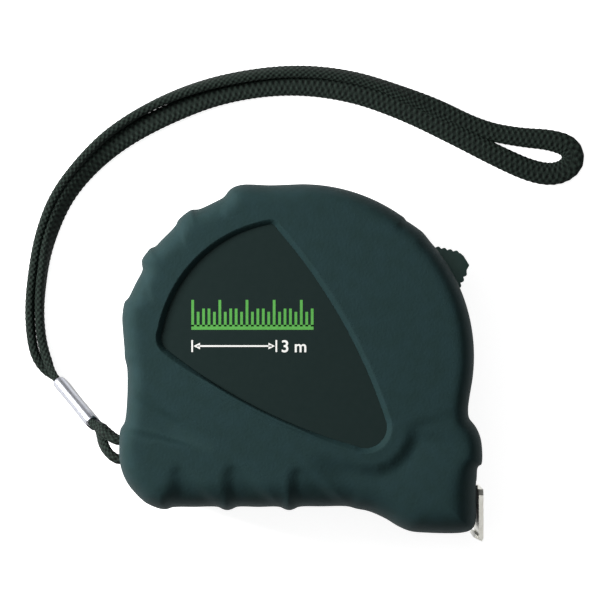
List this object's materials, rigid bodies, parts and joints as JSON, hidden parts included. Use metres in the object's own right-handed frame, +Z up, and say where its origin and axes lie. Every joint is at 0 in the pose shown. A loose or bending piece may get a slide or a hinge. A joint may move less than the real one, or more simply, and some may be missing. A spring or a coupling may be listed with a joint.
{
  "type": "tape measure",
  "caption": "Pocket tape measure with a rubber-clad two-part case, spring-wound steel blade on a reel, thumb lock, sliding end hook and a braided wrist strap.",
  "frame": {"origin": "under the middle of the case and hook, on the table the tape lies on", "axes": "+X towards the mouth and the end hook, +Y towards the top of the case, +Z up through the case's thickness, from the rear side to the front label"},
  "size_m": [0.1098, 0.0914, 0.034],
  "materials": {
    "shell": "satin",
    "jacket": "matte",
    "label": "matte",
    "steel": "zinc plated",
    "acetal": "satin",
    "crimp": "satin",
    "braid": "woven",
    "blade": "lacquered",
    "spring_steel": "blued",
    "hook_steel": "nickel plated",
    "jacket_hard": "matte",
    "pad": "matte"
  },
  "bodies": {
    "case": {"front_shell": "shell", "rear_shell": "shell", "front_jacket": "jacket", "rear_jacket": "jacket", "front_label": "label", "rear_label": "label", "case_screws": "steel", "arbor": "acetal", "blade_guide": "shell", "strap_pin": "steel", "strap_crimp": "crimp", "strap_tail": "braid", "strap_loop": "braid"},
    "reel": {"reel_drum": "acetal", "reel_lid": "acetal", "blade_coil": "blade", "spring_anchor": "acetal", "mainspring": "spring_steel"},
    "blade": {"blade_tip": "blade", "hook_rivets": "steel", "blade_lead": "blade"},
    "hook": {"end_hook": "hook_steel"},
    "lock": {"lock_button": "jacket_hard", "lock_arm": "acetal", "brake_pad": "pad", "detent_spring": "spring_steel"}
  },
  "joints": [
    {"name": "blade_pull", "type": "slide", "parent": "case", "child": "blade", "axis": [1, 0, 0], "range_m": [0, 3], "stiffness_N_per_m": 1.2, "springref_m": -3, "deforming": ["blade_lead"]},
    {"name": "reel_spin", "type": "hinge", "parent": "case", "child": "reel", "pos_m": [0.0002, 0.0013, 0.017], "axis": [0, 0, 1], "range_deg": [0, 7000], "deforming": ["mainspring"]},
    {"name": "hook_play", "type": "slide", "parent": "blade", "child": "hook", "axis": [1, 0, 0], "range_m": [0, 0.0008]},
    {"name": "lock_slide", "type": "hinge", "parent": "case", "child": "lock", "pos_m": [0.0002, 0.0013, 0.017], "axis": [0, 0, 1], "range_deg": [0, 5.5]}
  ],
  "couplings": [
    {"joint": "reel_spin", "follows": "blade_pull", "rad_per_m": 40.2}
  ]
}
